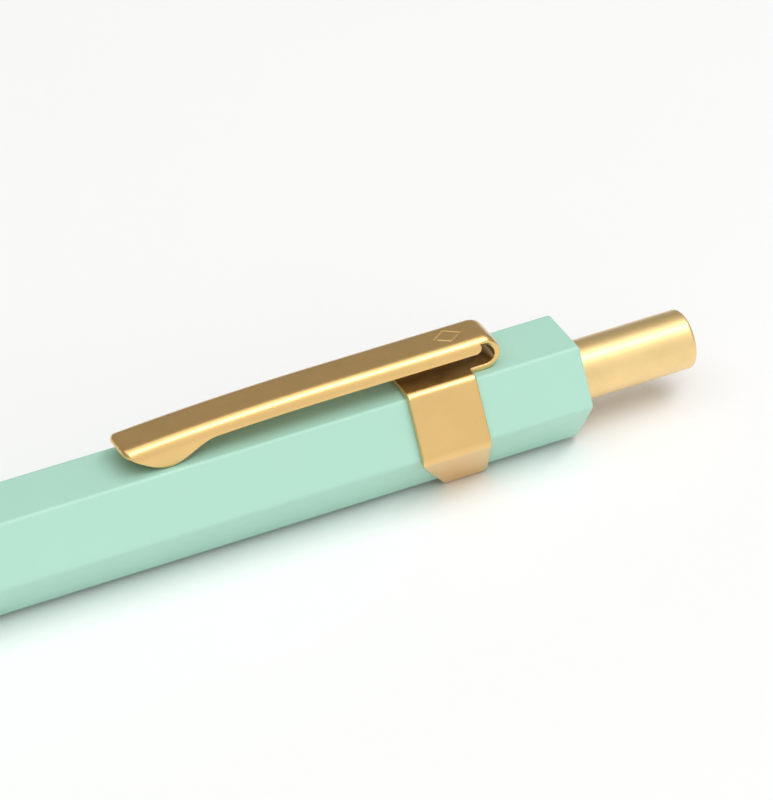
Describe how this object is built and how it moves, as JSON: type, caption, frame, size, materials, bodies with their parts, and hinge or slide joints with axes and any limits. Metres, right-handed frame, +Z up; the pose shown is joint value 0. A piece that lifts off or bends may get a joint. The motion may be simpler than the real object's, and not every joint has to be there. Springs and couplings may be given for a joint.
{
  "type": "gel pen",
  "caption": "Slim hexagonal click gel pen: lacquered barrel, gold spring clip on a wrap-round band, round push button, screw-off nose cone and replaceable gel refill.",
  "frame": {"origin": "middle of the overall length and width, on the plane that the clip's two lips stand on", "axes": "+X along the pen toward the push button, +Z up through the clip, writing tip toward -X"},
  "size_m": [0.131, 0.0106, 0.0118],
  "materials": {
    "barrel": "satin mint lacquer on aluminium",
    "gold_trim": "fine-blasted, satin gold plate",
    "gold_turned": "fine-brushed, satin gold plate",
    "steel": "bright drawn wire",
    "point": "turned nickel silver",
    "ball": "polished tungsten carbide",
    "rubber": "matt",
    "clear_plastic": "translucent, smooth",
    "natural_plastic": "natural moulded",
    "dark_plastic": "moulded",
    "red_plastic": "moulded",
    "ink": "dark gel, stands in as a solid",
    "grease": "pale translucent grease, stands in as a solid"
  },
  "bodies": {
    "barrel": {"barrel": "barrel", "clip_band": "gold_trim", "rear_collar": "gold_turned", "cam_sleeve": "natural_plastic"},
    "clip_arm": {"clip_arm": "gold_trim"},
    "button": {"push_button": "gold_turned", "button_core": "natural_plastic", "plunger_cam": "dark_plastic"},
    "rotor": {"rotor_cam": "red_plastic"},
    "refill": {"refill_tube": "clear_plastic", "gel_ink": "ink", "grease_follower": "grease", "refill_plug": "natural_plastic", "point_holder": "natural_plastic", "metal_point": "point", "ball_spring": "steel"},
    "ball": {"writing_ball": "ball"},
    "nose_carrier": {"seal_ring": "rubber", "return_spring": "steel"},
    "nose": {"nose_cone": "gold_turned"}
  },
  "joints": [
    {"name": "button_press", "type": "slide", "parent": "barrel", "child": "button", "axis": [-1, 0, 0], "range_m": [0, 0.0057], "stiffness_N_per_m": 700, "springref_m": -0.0043},
    {"name": "rotor_advance", "type": "slide", "parent": "barrel", "child": "rotor", "axis": [-1, 0, 0], "range_m": [0, 0.0057]},
    {"name": "refill_advance", "type": "slide", "parent": "barrel", "child": "refill", "axis": [-1, 0, 0], "range_m": [0, 0.0057], "deforming": ["return_spring"]},
    {"name": "ball_roll", "type": "hinge", "parent": "refill", "child": "ball", "pos_m": [-0.06319, 0, 0.00475], "axis": [0, 1, 0], "continuous": true},
    {"name": "nose_unscrew", "type": "slide", "parent": "barrel", "child": "nose_carrier", "axis": [-1, 0, 0], "range_m": [0, 0.0055]},
    {"name": "nose_turn", "type": "hinge", "parent": "nose_carrier", "child": "nose", "pos_m": [-0.05154, 0, 0.00475], "axis": [-1, 0, 0], "range_deg": [0, 1980]},
    {"name": "clip_flex", "type": "hinge", "parent": "barrel", "child": "clip_arm", "pos_m": [0.04701, 0, 0.0104], "axis": [0, 1, 0], "range_deg": [0, 4], "stiffness_Nm_per_rad": 1.2}
  ],
  "couplings": [
    {"joint": "rotor_advance", "follows": "button_press", "ratio": 1},
    {"joint": "refill_advance", "follows": "button_press", "ratio": 1},
    {"joint": "nose_turn", "follows": "nose_unscrew", "rad_per_m": 6283.2}
  ]
}
